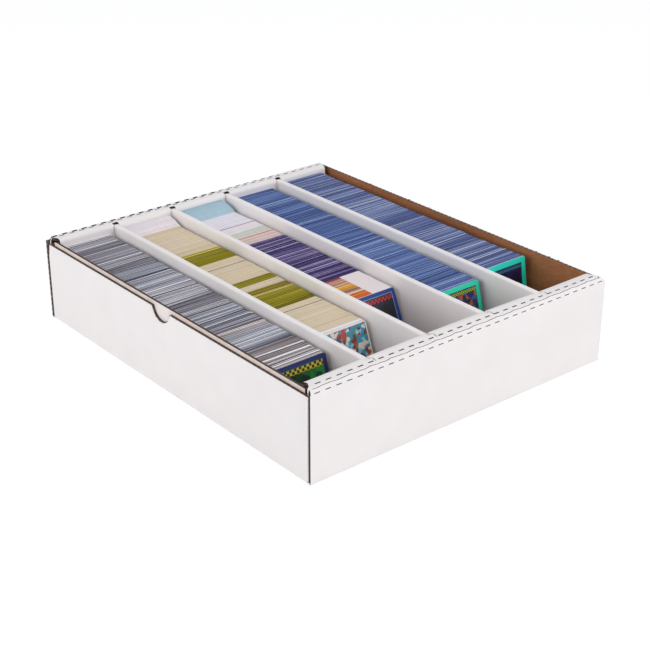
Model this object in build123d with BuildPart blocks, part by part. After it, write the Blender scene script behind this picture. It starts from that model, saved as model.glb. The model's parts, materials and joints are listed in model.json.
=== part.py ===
# A flat card storage tray folded from white-lined corrugated board.
# Five channels run along X between two rolled end walls. Four folded dividers
# stand between the channels, and leaning cards fill each channel.
# Millimetres. The origin is the middle of the underside, +Z is up, and the
# front wall with the thumb notch is at -Y.

from collections import namedtuple
from math import cos, radians, sin
import os

from build123d import *

os.makedirs("parts", exist_ok=True)

# The cards that the tray is made for
card_width = 63.5
card_height = 88.9
card_thickness = 0.4

# The board
board = 3.0
fold_radius = 1.5  # outside of a folded edge
fold_gap = 0.4  # between the two leaves of a divider

# The channels
channel_length = 433.0
side_play = 8.0  # channel width beyond the card's width
headroom = 6.6  # top of the end walls above an upright card
end_wall_thickness = 18.5
end_wall_drop = 4.5  # outer fold of an end wall below its top
front_drop = 8.0
front_inner_drop = 4.2
back_drop = 4.0
divider_drop = 1.0

# The walls
wall_end_play = 1.0  # from the front and back walls to the end walls
front_gap = 1.1  # between the front wall's two layers
front_inner_overlap = 5.5  # how far the front inner panel runs into an end wall
roll_slope_run = 4.2  # from the outer fold inwards to the crushed line
roll_end_taper = 7.6  # how far the roll's inner edge stops short of its outer edge
roll_nose_radius = 4.5
roll_end_gap = 0.4
inner_end_play = 1.0  # from an inner end panel to the front inner panel
inner_back_gap = 5.6  # from an inner end panel to the back wall
flap_length = 108.0
flap_inset = 2.8  # corner flap behind the end wall's outer panel
flap_drop = 8.5
notch_width = 31.0
notch_depth = 13.0
notch_offset = -7.0

# The slots that hold the dividers, and the tabs that lock the end walls
divider_seat = 48.0  # height of the slot's lower end
divider_reach = 4.5  # how far a divider's ear runs into an end wall
slot_play = 0.3
slot_run_out = 1.5
ear_radius = 4.0
lock_tab_length = 40.0
lock_tab_spacing = 140.0
lock_tab_recess = 0.3

# Clearance of the pieces that move, at rest
rest_gap = 0.3

# Empty floor between each row's loose front card and the near end
row_1_free = 22.8
row_2_free = 48.9
row_3_free = 89.9
row_4_free = 52.2
row_5_free = 72.1

# How far each row stands off the middle of its channel, along Y
row_1_shift = -1.0
row_2_shift = -0.5
row_3_shift = -1.0
row_4_shift = -3.0
row_5_shift = 0.0

# The rows of cards, from the front channel to the back one.
# lean: degrees that the tops lie back towards -X
# far_lean: the same for the farthest card; the first run fans out from there to lean
# runs: the runs of like cards from the far end, each with its percentage of the row
Row = namedtuple("Row", "lean far_lean shift free runs")
rows = [
    Row(18.0, 18.0, row_1_shift, row_1_free, {"silver": 100.0}),
    Row(
        22.0,
        0.0,
        row_2_shift,
        row_2_free,
        {
            "white": 6.9,
            "cream": 22.3,
            "olive": 9.9,
            "plain": 17.3,
            "green": 22.4,
            "near": 21.2,
        },
    ),
    Row(
        24.0,
        0.0,
        row_3_shift,
        row_3_free,
        {"sky": 8.6, "pale": 29.9, "purple": 43.8, "near": 17.7},
    ),
    Row(16.0, 16.0, row_4_shift, row_4_free, {"blue": 100.0}),
    Row(9.0, 9.0, row_5_shift, row_5_free, {"blue": 100.0}),
]

# Sizes that follow
divider_thickness = 2 * board + fold_gap
channel_width = card_width + side_play
channel_pitch = channel_width + divider_thickness
channels_width = len(rows) * channel_pitch - divider_thickness
half_clear_length = channel_length / 2
half_length = half_clear_length + end_wall_thickness
half_width = channels_width / 2 + 2 * board + front_gap
front_inner_face = -channels_width / 2
back_inner_face = half_width - board
top = board + card_height + headroom
end_fold_height = top - end_wall_drop
front_height = top - front_drop
front_inner_height = top - front_inner_drop
back_height = top - back_drop
divider_height = top - divider_drop
flap_height = top - flap_drop
inner_panel_top = top - roll_nose_radius
inner_panel_front = front_inner_face + inner_end_play
inner_panel_back = back_inner_face - inner_back_gap
channel_ys = [(k - (len(rows) - 1) / 2) * channel_pitch for k in range(len(rows))]
divider_ys = [y + channel_pitch / 2 for y in channel_ys[:-1]]
slot_width = divider_thickness + 2 * slot_play
slot_depth = divider_reach + slot_run_out
lock_tab_ys = [-lock_tab_spacing / 2, lock_tab_spacing / 2]
side_wall_length = 2 * (half_length - board - wall_end_play)


def save(piece, name):
    """Label a finished piece and write it to its own file."""
    piece.label = name
    export_step(piece, f"parts/{name}.step")


def make_bottom_panel():
    with BuildPart() as bottom_panel:
        with BuildSketch(Plane.XY):
            Rectangle(2 * (half_length - board), 2 * back_inner_face)
            slot_x = half_clear_length + board / 2
            with Locations([(s * slot_x, y) for s in (-1, 1) for y in lock_tab_ys]):
                Rectangle(
                    board + 2 * slot_play,
                    lock_tab_length + 2 * slot_play,
                    mode=Mode.SUBTRACT,
                )
        extrude(amount=board)
    save(bottom_panel.part, "bottom_panel")


def make_front_wall():
    notch_radius = (notch_width**2 / 4 + notch_depth**2) / (2 * notch_depth)
    notch_centre = front_height - notch_depth + notch_radius
    with BuildPart() as front_wall:
        with BuildSketch(Plane.XZ.offset(back_inner_face)):
            with Locations((0, front_height / 2)):
                Rectangle(side_wall_length, front_height)
            with Locations((notch_offset, notch_centre)):
                Circle(notch_radius, mode=Mode.SUBTRACT)
        extrude(amount=board)
        fold = front_wall.edges().filter_by(Axis.X).group_by(Axis.Z)[0].sort_by(Axis.Y)[0]
        fillet(fold, fold_radius)
    save(front_wall.part, "front_wall")


def make_front_inner_panel():
    half_span = half_clear_length + front_inner_overlap
    with BuildPart() as front_inner_panel:
        with BuildSketch(Plane.XY.offset(board)):
            with Locations((0, front_inner_face - board / 2)):
                Rectangle(2 * half_span, board)
        extrude(amount=front_inner_height - board)
    save(front_inner_panel.part, "front_inner_panel")


def make_back_wall():
    with BuildPart() as back_wall:
        with BuildSketch(Plane.XY):
            with Locations((0, back_inner_face + board / 2)):
                Rectangle(side_wall_length, board)
        extrude(amount=back_height)
        fold = back_wall.edges().filter_by(Axis.X).group_by(Axis.Z)[0].sort_by(Axis.Y)[-1]
        fillet(fold, fold_radius)
    save(back_wall.part, "back_wall")


def make_end_wall(side, sign):
    """The outer panel of an end wall, from the underside to its outer fold."""
    with BuildPart() as end_wall:
        with BuildSketch(Plane.XY):
            with Locations((sign * (half_length - board / 2), 0)):
                Rectangle(board, 2 * half_width)
        extrude(amount=end_fold_height)
        low_edges = end_wall.edges().filter_by(Axis.Y).group_by(Axis.Z)[0]
        fillet(low_edges.sort_by(Axis.X)[-1 if sign > 0 else 0], fold_radius)
    save(end_wall.part, f"{side}_end_wall")


def make_rolled_edge(side, sign):
    """The strip that rolls over an end wall, from its outer fold to the inner panel."""
    outer_fold = half_length
    crush_line = half_length - roll_slope_run
    nose_start = half_clear_length + roll_nose_radius
    nose_turn = roll_nose_radius * (1 - cos(radians(45)))
    bend_radius = roll_nose_radius - board
    bend_turn = bend_radius * (1 - cos(radians(45)))
    slot_centre = half_clear_length + slot_depth / 2
    with BuildPart() as rolled_edge:
        with BuildSketch(Plane.XZ.offset(-half_width + roll_end_gap)):
            with BuildLine():
                Polyline(
                    (sign * (outer_fold - board), end_fold_height),
                    (sign * outer_fold, end_fold_height),
                    (sign * crush_line, top),
                    (sign * nose_start, top),
                )
                ThreePointArc(
                    (sign * nose_start, top),
                    (sign * (half_clear_length + nose_turn), top - nose_turn),
                    (sign * half_clear_length, inner_panel_top),
                )
                Line(
                    (sign * half_clear_length, inner_panel_top),
                    (sign * (half_clear_length + board), inner_panel_top),
                )
                ThreePointArc(
                    (sign * (half_clear_length + board), inner_panel_top),
                    (
                        sign * (half_clear_length + board + bend_turn),
                        top - board - bend_turn,
                    ),
                    (sign * nose_start, top - board),
                )
                Polyline(
                    (sign * nose_start, top - board),
                    (sign * (crush_line - board / 2), top - board),
                    (sign * (outer_fold - board), end_fold_height),
                )
            make_face()
        extrude(amount=2 * (half_width - roll_end_gap))
        with BuildSketch(Plane.XY.offset(end_fold_height - roll_nose_radius)):
            with Locations([(sign * slot_centre, y) for y in divider_ys]):
                Rectangle(slot_depth, slot_width)
            for end, inner_stop in ((-1, -inner_panel_front), (1, inner_panel_back)):
                with BuildLine():
                    Polyline(
                        (sign * outer_fold, end * (inner_stop + roll_end_taper)),
                        (sign * nose_start, end * inner_stop),
                        (sign * (half_clear_length - board), end * inner_stop),
                        (sign * (half_clear_length - board), end * (half_width + board)),
                        (sign * outer_fold, end * (half_width + board)),
                        close=True,
                    )
                make_face()
        extrude(amount=3 * roll_nose_radius, mode=Mode.SUBTRACT)
    save(rolled_edge.part, f"{side}_rolled_edge")


def make_inner_end_panel(side, sign):
    """The panel that the roll brings down inside, slotted for the dividers."""
    panel_length = inner_panel_back - inner_panel_front
    panel_middle = (inner_panel_back + inner_panel_front) / 2
    face_x = sign * (half_clear_length + board / 2)
    with BuildPart() as inner_end_panel:
        with BuildSketch(Plane.XY.offset(board)):
            with Locations((face_x, panel_middle)):
                Rectangle(board, panel_length)
        extrude(amount=inner_panel_top - board)
        with BuildSketch(Plane.XY.offset(lock_tab_recess)):
            with Locations([(face_x, y) for y in lock_tab_ys]):
                Rectangle(board, lock_tab_length)
        extrude(amount=board - lock_tab_recess)
        with BuildSketch(Plane.XY.offset(divider_seat)):
            with Locations([(face_x, y) for y in divider_ys]):
                Rectangle(2 * board, slot_width)
        extrude(amount=top, mode=Mode.SUBTRACT)
    save(inner_end_panel.part, f"{side}_inner_panel")


def make_corner_flap(end_name, end_sign, side, sign):
    """A flap that turns off the front or back wall and lies inside an end wall."""
    flap_x = half_length - board - flap_inset - board / 2
    with BuildPart() as corner_flap:
        with BuildSketch(Plane.XY.offset(board)):
            with Locations((sign * flap_x, end_sign * (back_inner_face - flap_length / 2))):
                Rectangle(board, flap_length)
        extrude(amount=flap_height - board)
        free_end = corner_flap.edges().filter_by(Axis.X).group_by(Axis.Z)[-1]
        chamfer(free_end.sort_by(Axis.Y)[0 if end_sign > 0 else -1], 4 * board)
    save(corner_flap.part, f"{end_name}_{side}_corner_flap")


def make_divider(number, y):
    """A board folded double along its top, with an ear at each end of its upper half."""
    low = board + rest_gap
    ear_low = divider_seat + rest_gap
    half_body = half_clear_length - rest_gap
    half_ear = half_clear_length + divider_reach
    with BuildPart() as divider:
        with BuildSketch(Plane.XZ.offset(-y - divider_thickness / 2)):
            with Locations((0, (low + divider_height) / 2)):
                Rectangle(2 * half_body, divider_height - low)
            with Locations((0, (ear_low + divider_height) / 2)):
                Rectangle(2 * half_ear, divider_height - ear_low)
        extrude(amount=divider_thickness)
        ends = divider.edges().filter_by(Axis.Y).group_by(Axis.Z)[-1]
        fillet(ends, ear_radius)
        with BuildSketch(Plane.YZ.offset(-half_ear)):
            with BuildLine():
                Line(
                    (y - divider_thickness / 2, low),
                    (y - divider_thickness / 2, divider_height - divider_thickness / 2),
                )
                ThreePointArc(
                    (y - divider_thickness / 2, divider_height - divider_thickness / 2),
                    (y, divider_height),
                    (y + divider_thickness / 2, divider_height - divider_thickness / 2),
                )
                Polyline(
                    (y + divider_thickness / 2, divider_height - divider_thickness / 2),
                    (y + divider_thickness / 2, low),
                    (y - divider_thickness / 2, low),
                )
            make_face()
            with Locations((y, (low + divider_height - board) / 2)):
                Rectangle(fold_gap, divider_height - board - low, mode=Mode.SUBTRACT)
        extrude(amount=2 * half_ear, mode=Mode.INTERSECT)
    save(divider.part, f"divider_{number}")


def make_card_run(name, y, far_lean, lean, far_top, near_top):
    """A run of leaning cards, whose tops go from far_top to near_top along the channel."""
    floor = board + rest_gap
    with BuildPart() as card_run:
        with BuildSketch(Plane.XZ.offset(-y - card_width / 2)):
            with BuildLine():
                Polyline(
                    (far_top + card_height * sin(far_lean), floor),
                    (near_top + card_height * sin(lean), floor),
                    (near_top, floor + card_height * cos(lean)),
                    (far_top, floor + card_height * cos(far_lean)),
                    close=True,
                )
            make_face()
        extrude(amount=card_width)
    save(card_run.part, name)


def make_front_card(name, y, lean, foot):
    """The loose card at the front of a row, which leans on the run behind it."""
    back_of_card = Plane(
        origin=(foot, y, board + rest_gap),
        x_dir=(0, 1, 0),
        z_dir=(cos(lean), 0, sin(lean)),
    )
    with BuildPart() as front_card:
        with BuildSketch(back_of_card):
            with Locations((0, card_height / 2)):
                Rectangle(card_width, card_height)
        extrude(amount=card_thickness)
    save(front_card.part, name)


def make_row(number, row, channel_y):
    """Every run of cards in one channel, and the loose card in front of them."""
    y = channel_y + row.shift
    lean = radians(row.lean)
    front_foot = half_clear_length - row.free - card_thickness / cos(lean)
    first_top = -half_clear_length + rest_gap
    last_top = front_foot - rest_gap / cos(lean) - card_height * sin(lean)
    start = first_top
    start_lean = radians(row.far_lean)
    for run, percentage in row.runs.items():
        stop = start + (last_top - first_top) * percentage / 100
        make_card_run(f"row_{number}_{run}_cards", y, start_lean, lean, start, stop)
        start = stop
        start_lean = lean
    make_front_card(f"front_card_{number}", y, lean, front_foot)


make_bottom_panel()
make_front_wall()
make_front_inner_panel()
make_back_wall()
for side_name, side_sign in (("left", -1), ("right", 1)):
    make_end_wall(side_name, side_sign)
    make_rolled_edge(side_name, side_sign)
    make_inner_end_panel(side_name, side_sign)
    make_corner_flap("front", -1, side_name, side_sign)
    make_corner_flap("back", 1, side_name, side_sign)
for divider_index, divider_y in enumerate(divider_ys):
    make_divider(divider_index + 1, divider_y)
for row_index, card_row in enumerate(rows):
    make_row(row_index + 1, card_row, channel_ys[row_index])
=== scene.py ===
# The looks of a flat card storage tray, folded from white-lined corrugated board,
# with five rows of leaning cards and four folded dividers.
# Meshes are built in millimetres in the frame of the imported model, and each one is
# scaled to metres when its piece is finished.

from collections import namedtuple
from math import acos, asin, cos, hypot, pi, radians, sin, sqrt
import json
import random

import bmesh
import bpy
from bmesh.types import BMEdge, BMVert
from mathutils import Matrix, Vector


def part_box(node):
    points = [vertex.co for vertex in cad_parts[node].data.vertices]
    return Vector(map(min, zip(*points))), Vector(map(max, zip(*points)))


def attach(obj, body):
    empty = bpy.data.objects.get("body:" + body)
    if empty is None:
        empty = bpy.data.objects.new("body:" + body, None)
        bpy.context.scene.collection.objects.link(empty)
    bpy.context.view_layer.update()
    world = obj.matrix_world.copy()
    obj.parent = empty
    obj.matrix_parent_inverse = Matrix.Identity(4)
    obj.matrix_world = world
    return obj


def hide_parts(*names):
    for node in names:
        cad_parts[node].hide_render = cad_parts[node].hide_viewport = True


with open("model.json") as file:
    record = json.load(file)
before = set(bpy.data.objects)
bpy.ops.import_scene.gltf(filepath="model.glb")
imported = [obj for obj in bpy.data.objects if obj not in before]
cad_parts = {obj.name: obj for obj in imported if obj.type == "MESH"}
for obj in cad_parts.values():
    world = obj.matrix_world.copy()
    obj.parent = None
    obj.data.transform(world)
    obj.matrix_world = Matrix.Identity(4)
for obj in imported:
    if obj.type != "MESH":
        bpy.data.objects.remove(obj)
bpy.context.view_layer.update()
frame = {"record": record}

MM = 0.001
X, Y, Z = Vector((1, 0, 0)), Vector((0, 1, 0)), Vector((0, 0, 1))
SIDES = (("left", -1), ("right", 1))
NEAR = 0.01  # closer than this is the same place
REST = 1000.0  # beyond every piece, which also means the rest of a row

# The board: a fluted medium glued between two liners
BOARD = 3.0
LINER = 0.4
MEDIUM = 0.25
FLUTE_HEIGHT = (BOARD - 2 * LINER - MEDIUM) / 2  # of a wave, from its middle
FLUTE_PITCH = 6.4
FLUTE_STEPS = 8
FOLD_RADIUS = 1.5
FOLD_STEPS = 4
SHARP_EDGE = radians(35)
PAPER_IOR = 1.5

# The cards
CARD_WIDTH = 63.5
CARD_HEIGHT = 88.9
CARD_PITCH = 0.42
CARD_FILL = 0.93  # share of the pitch that the card fills
CARD_CORNER = 3.0
FAN_SKEW = 0.017  # how far out of square the cards stand at most
FAN_LENGTH = 60.0  # and how soon they turn the other way
FAN_GROWTH = 0.1  # from card to card at each end of a run
LOOSE_CARD = 0.4  # thickness of a single card
LOOSE_CORNER_STEPS = 5
PACKED_CORNER_STEPS = 2

# The thumb notch, in the front wall
NOTCH_WIDTH = 31.0
NOTCH_DEPTH = 13.0
NOTCH_X = -7.0
NOTCH_STEPS = 20

# The crushed top edge of the front wall
EDGE_CRUSH = 0.8  # how far the outer liner's cut edge stands below the inner one's
EDGE_BEND = 0.8  # how far the inner liner bends over
LINER_BEND = 1.3  # and the outer one

# The back wall's top edge, a little high in its fold, and the nicks that the die leaves on it
BACK_RISE = 0.4
NICK_WIDTH = 2.0
NICK_HEIGHT = 0.8
NICKS = (-136.7, -67.8, -33.0, 43.5, 137.8, 156.9, 170.0)  # along X

# The slots that hold the dividers, and the tabs that lock the end walls in the floor
DIVIDERS = (1, 2, 3, 4)
SLOT_PLAY = 0.3
SLOT_RUN_OUT = {"left": 0.8, "right": 0.15}
SLIT_WIDTH = 0.9
SLOT_HEM = 2.0
SEAT_HEIGHT = 48.0
TAB_LENGTH = 40.0
TAB_SPACING = 140.0
TAB_PLAY = 0.3
FLAP_SLANT = 4 * BOARD  # how far the slant of a corner flap starts below its top

# The rolled edges
ROLL_SLOPE_RUN = 4.2
ROLL_NOSE = 4.5
NOSE_STEPS = 7
LINING_STEPS = 3
SLOPE_STATION = 3.0
DASH_LENGTH = 6.35
DASH_PITCH = 12.7
OUTER_DASH_WIDTH = 0.85
INNER_DASH_WIDTH = 1.6
OUTER_DASH_START = -190.3
INNER_DASH_START = -182.9
OUTER_DASH_INSET = 0.3  # from the outer fold to the outer line of dashes
INNER_DASH_INSET = 9.0  # and to the inner one
CREST_STRIP = 0.1  # of whole liner between the left roll's crest and its torn dashes
CRUSH_DEPTH = 0.9
CRUSH_HALF_WIDTH = 1.1
CRUSH_MARGIN = 2.4  # room on each side for the crease to wander in
CRUSHED_REACH = 3.4  # how far in from the crest the medium is crushed
CRUSHED_WAVE = -0.8  # and where it lies there, in flute heights
MEANDER = ((0.6, 4.3, 1.7), (0.4, 1.9, 0.4))  # shares, lengths and phases of the crease's waves
# The split shows the dark fluting medium beneath as painted shade, in place of the buckled crease's own
# shadow
SHADE_CRACK_WIDTH = 0.65  # of the split in the outer liner along the crease
# How wide the left roll's cuts gape along its crest, and up to where along Y
TORN_DASHES = ((3.4, 30.0), (1.8, 125.0), (0.5, 400.0))
CREASE_TEAR = 191.5  # the crease gapes beyond this place along Y
END_HOLE = 193.0  # the left roll's corners are torn open beyond this place along Y
END_HOLE_REACH = 3.4  # and up to this far down from the crest
TONGUE_ROOT = 5.0  # how far before that place a tongue may start
TONGUE_EDGE = 0.1  # the shortest edge across the roll that a tongue hangs from
RIGHT_TONGUE_REACH = 1.2
LEFT_TONGUE = ((1.6, 0.7), (1.3, 3.0), (0.2, 3.6))  # steps out and down over the front end
RIGHT_TONGUE = ((1.0, 0.5), (0.7, 1.6), (0.2, 3.4))
BACK_TONGUE = ((0.8, 0.8), (0.4, 2.6))
BULGE_END = 4.0  # how far the right roll bulges over the cards at its ends
BULGE_SWELL = 2.0  # and how much further at its fullest place
BULGE_RISE = 1.4
BULGE_MIDDLE = -20.0
BULGE_REACH = 150.0
BULGE_POWER = 6  # how late the bulge sets in on the way up the inner panel
BULGE_ROWS = (58.0, 68.0, 76.0, 82.0, 88.0)
BULGE_COLUMNS = range(-180, 181, 20)

# Paper layers of a board piece, in the order of its materials
OUTSIDE, INSIDE, MIDDLE = 0, 1, 2


def corners(node):
    """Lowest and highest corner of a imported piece, in millimetres."""
    low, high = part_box(node)
    return Vector(low) / MM, Vector(high) / MM


record = frame["record"]
body_of = {node: body for body, nodes in record["behaviour"]["bodies"].items() for node in nodes}


# Materials

def linear(code):
    """An sRGB hex colour as linear red, green, blue and alpha."""
    channels = [int(code[place:place + 2], 16) / 255 for place in (1, 3, 5)]
    return [c / 12.92 if c <= 0.04045 else ((c + 0.055) / 1.055) ** 2.4 for c in channels] + [1.0]


def set_inputs(node, inputs):
    """Sets a node's inputs, by name, or in the order in which it shows them. A node or a
    socket is linked, a node by the first output that it shows."""
    sockets = node.inputs
    if not isinstance(inputs, dict):
        sockets = [socket for socket in sockets if socket.enabled]
        inputs = dict(enumerate(inputs))
    for name, value in inputs.items():
        if isinstance(value, bpy.types.Node):
            value = next(output for output in value.outputs if output.enabled)
        if isinstance(value, bpy.types.NodeSocket):
            node.id_data.links.new(value, sockets[name])
        else:
            sockets[name].default_value = value


def add_node(tree, kind, inputs=(), stops=(), **settings):
    """Adds a shader node with its settings, its inputs and the stops of its ramp."""
    node = tree.nodes.new(f"ShaderNode{kind}")
    for name, value in settings.items():
        setattr(node, name, value)
    set_inputs(node, inputs)
    if stops:
        elements = node.color_ramp.elements
        while len(elements) < len(stops):
            elements.new(1.0)
        for element, (place, colour) in zip(elements, stops):
            element.position = place
            element.color = linear(colour)
    return node


def new_material(name, roughness):
    """A material whose shader has one roughness and paper's index of refraction all over."""
    material = bpy.data.materials.new(name)
    material.use_nodes = True
    shader = material.node_tree.nodes["Principled BSDF"]
    set_inputs(shader, {"Roughness": roughness, "IOR": PAPER_IOR})
    return material, material.node_tree, shader


def dress(tree, shader, tone, stops, relief):
    """Colours a material by a tone between the stops, and gives it its relief."""
    shade = add_node(tree, "ValToRGB", [tone], stops)
    set_inputs(shader, {"Base Color": shade, "Normal": add_node(tree, "Bump", relief)})


def per_size(millimetres):
    """The texture scale that makes a pattern of that size, on coordinates in metres."""
    return 1 / (millimetres * MM)


def band_scale(pitch):
    """The wave texture scale whose bands repeat at that pitch in millimetres."""
    return pi / 10 * per_size(pitch)


def clay_coated_liner(name, flutes_across):
    """Bleached liner with a clay coat, calendered: a soft white with a slight sheen, a fine
    tooth, and the flutes showing through as a faint washboard."""
    material, tree, shader = new_material(name, roughness=0.55)
    place = add_node(tree, "TexCoord").outputs["Object"]
    mottle = add_node(tree, "TexNoise", {"Vector": place, "Scale": per_size(40.0), "Detail": 3.0})
    tooth = add_node(tree, "TexNoise", {"Vector": place, "Scale": per_size(1.2), "Detail": 4.0})
    waves = {"Vector": place, "Scale": band_scale(FLUTE_PITCH)}
    washboard = add_node(tree, "TexWave", waves, bands_direction=flutes_across).outputs["Fac"]
    fine = add_node(tree, "Bump", {"Height": tooth, "Strength": 0.5, "Distance": 0.04 * MM})
    relief = {"Height": washboard, "Strength": 0.6, "Distance": 0.04 * MM, "Normal": fine}
    dress(tree, shader, mottle, [(0.3, "#F2EDEB"), (0.7, "#F5F1EF")], relief)
    return material


def kraft_liner(name, shades):
    """Unbleached kraft liner, uncoated: brown, dull and a little fibrous, with darker and
    paler fibres along its length."""
    material, tree, shader = new_material(name, roughness=0.85)
    place = add_node(tree, "TexCoord").outputs["Object"]
    along = add_node(tree, "Mapping", {"Vector": place, "Scale": (0.25, 1.0, 1.0)})
    fibres = add_node(tree, "TexNoise", {"Vector": along, "Scale": per_size(1.6), "Detail": 5.0})
    clouds = add_node(tree, "TexNoise", {"Vector": along, "Scale": per_size(25.0), "Detail": 2.0})
    blend = add_node(tree, "Math", [fibres, clouds], operation="ADD")
    half = add_node(tree, "Math", [blend, 0.5], operation="MULTIPLY")
    relief = {"Height": fibres, "Strength": 0.6, "Distance": 0.08 * MM}
    dress(tree, shader, half, list(zip((0.3, 0.5, 0.7), shades)), relief)
    return material


def fluting_medium():
    """Recycled fluting paper and the cut edges of the liners: grey-brown, rough and torn,
    so it reads as the thin dark line of a cut board."""
    material, tree, shader = new_material("recycled_fluting_medium", roughness=0.9)
    place = add_node(tree, "TexCoord").outputs["Object"]
    fibres = add_node(tree, "TexNoise", {"Vector": place, "Scale": per_size(0.9), "Detail": 4.0})
    relief = {"Height": fibres, "Strength": 0.8, "Distance": 0.1 * MM}
    dress(tree, shader, fibres, [(0.3, "#54453E"), (0.7, "#7E6B60")], relief)
    return material


def gap_shaded_liner():
    """The same liner on the inner panel's outward face, with painted shade and brown bounce light from the
    narrow gap behind the front wall: a warm beige in blotches, least of all right behind the thumb notch,
    where light comes in."""
    material, tree, shader = new_material("clay_coated_liner_painted_gap_shade", roughness=0.7)
    place = add_node(tree, "TexCoord").outputs["Object"]
    along_x = add_node(tree, "SeparateXYZ", [place]).outputs["X"]
    aside = add_node(tree, "Math", [along_x, NOTCH_X * MM], operation="SUBTRACT")
    distance = add_node(tree, "Math", [aside], operation="ABSOLUTE")
    reach = {"Value": distance, "From Min": 8 * MM, "From Max": 22 * MM}
    blotches = add_node(tree, "TexNoise", {"Vector": place, "Scale": per_size(9.0), "Detail": 3.0})
    blotched = add_node(tree, "Math", [add_node(tree, "MapRange", reach), blotches], operation="MULTIPLY")
    # painted shade: beige tints for the shaded gap behind the front wall, fading out near the notch
    shades = [(0.0, "#EFE8E3"), (0.35, "#EBDDD4"), (0.65, "#E3D0C5")]
    relief = {"Height": blotches, "Strength": 0.4, "Distance": 0.1 * MM}
    dress(tree, shader, blotched, shades, relief)
    return material


def cut_card_edges(name, run_off=0.03, white_from=None):
    """Guillotined edges of coated card: each card shows its own ink and paper as one fine
    line, and prints that run off the card carry on from one card to the next by as much as
    run_off says. From white_from on along Y the print stops and bare paper shows."""
    material, tree, shader = new_material(name, roughness=0.6)
    place = add_node(tree, "TexCoord").outputs["Object"]
    colour = add_node(tree, "Attribute", attribute_name="card_ink")
    if white_from is not None:
        along_y = add_node(tree, "SeparateXYZ", [place]).outputs["Y"]
        bare = add_node(tree, "Math", [along_y, white_from * MM], operation="GREATER_THAN")
        colour = add_node(tree, "Mix", [bare, colour, linear("#EFE7E8")], data_type="RGBA")
    along = add_node(tree, "Mapping", {"Vector": place, "Scale": (0.12, 1.0, 0.12)})
    ends = add_node(tree, "TexNoise", {"Vector": along, "Scale": per_size(3.5), "Detail": 3.0})
    spread = {"From Min": 0.3, "From Max": 0.7, "To Min": 1 - run_off, "To Max": 1 + run_off}
    blotches = add_node(tree, "MapRange", {"Value": ends, **spread})
    blotched = add_node(tree, "Mix", [1.0, colour, blotches], data_type="RGBA", blend_type="MULTIPLY")
    set_inputs(shader, {"Specular IOR Level": 0.25, "Base Color": blotched})
    return material


CardPrint = namedtuple("CardPrint", "name border border_width line line_width ribbon field cell")


def printed_card_face(design):
    """Offset print under a clear varnish: full colours and a soft gloss. The print is a
    border that shades from one side to the other, an inner line, a chequered ribbon and a
    mosaic of the card's colours."""
    material, tree, shader = new_material(design.name, roughness=0.32)
    place = add_node(tree, "UVMap", uv_map="card_face")
    flat = add_node(tree, "Mapping", {"Vector": place, "Scale": (CARD_WIDTH, CARD_HEIGHT, 1.0)})
    parts = add_node(tree, "SeparateXYZ", [flat]).outputs
    margins = []
    for name, size in (("X", CARD_WIDTH), ("Y", CARD_HEIGHT)):
        from_middle = add_node(tree, "Math", [parts[name], size / 2], operation="SUBTRACT")
        away = add_node(tree, "Math", [from_middle], operation="ABSOLUTE")
        margins.append(add_node(tree, "Math", [size / 2, away], operation="SUBTRACT"))
    margin = add_node(tree, "Math", margins, operation="MINIMUM")
    cells = {"Vector": flat, "Scale": 1 / design.cell}
    mosaic = add_node(tree, "TexVoronoi", cells, voronoi_dimensions="2D").outputs["Color"]
    tile = add_node(tree, "SeparateColor", [mosaic])
    stops = [(k / len(design.field), code) for k, code in enumerate(design.field)]
    colour = add_node(tree, "ValToRGB", [tile], stops)
    colour.color_ramp.interpolation = "CONSTANT"
    if design.ribbon:
        dark, light, top, height = design.ribbon
        chequers = {"Scale": 2 / height, "Color1": linear(dark), "Color2": linear(light)}
        squares = add_node(tree, "TexChecker", {"Vector": flat, **chequers})
        span = [parts["Y"], CARD_HEIGHT - top - height / 2, height / 2]
        on_ribbon = add_node(tree, "Math", span, operation="COMPARE")
        colour = add_node(tree, "Mix", [on_ribbon, colour, squares], data_type="RGBA")
    across = add_node(tree, "SeparateXYZ", [place])
    inks = [linear(code) for code in design.border]
    border = add_node(tree, "Mix", [across, *inks], data_type="RGBA")
    line_end = design.border_width + design.line_width
    for width, ink in ((line_end, linear(design.line)), (design.border_width, border)):
        outside = add_node(tree, "Math", [margin, width], operation="LESS_THAN")
        colour = add_node(tree, "Mix", [outside, colour, ink], data_type="RGBA")
    set_inputs(shader, {"Base Color": colour})
    return material


# Mesh tools

def outward_side(bm, direction):
    """Turns an open sheet over if its faces don't look the given way."""
    bm.normal_update()
    if sum(face.normal.dot(direction) * face.calc_area() for face in bm.faces) < 0:
        bmesh.ops.reverse_faces(bm, faces=bm.faces[:])


def cut_across(bm, axis, places):
    """Cuts every face at each place along an axis."""
    for place in places:
        everything = bm.verts[:] + bm.edges[:] + bm.faces[:]
        bmesh.ops.bisect_plane(bm, geom=everything, plane_co=axis * place, plane_no=axis)


def drop_faces(bm, is_cut_away):
    """Deletes the faces whose middle the test says is cut away."""
    faces = [face for face in bm.faces if is_cut_away(face.calc_center_median())]
    bmesh.ops.delete(bm, geom=faces, context="FACES")


def thicken(bm, thickness, paper, rim=None):
    """Gives a sheet of that paper its thickness, away from the side that it shows. Its rims
    and its hidden side are of the other paper, if one is given."""
    shown = set(bm.faces)
    bmesh.ops.solidify(bm, geom=bm.faces[:], thickness=thickness)
    for face in bm.faces:
        face.material_index = paper if rim is None or face in shown else rim


def soften(bm):
    """Shades the faces smooth, apart from sharp edges."""
    bm.normal_update()
    for face in bm.faces:
        face.smooth = True
    for edge in bm.edges:
        edge.smooth = len(edge.link_faces) == 2 and edge.calc_face_angle() < SHARP_EDGE


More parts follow.
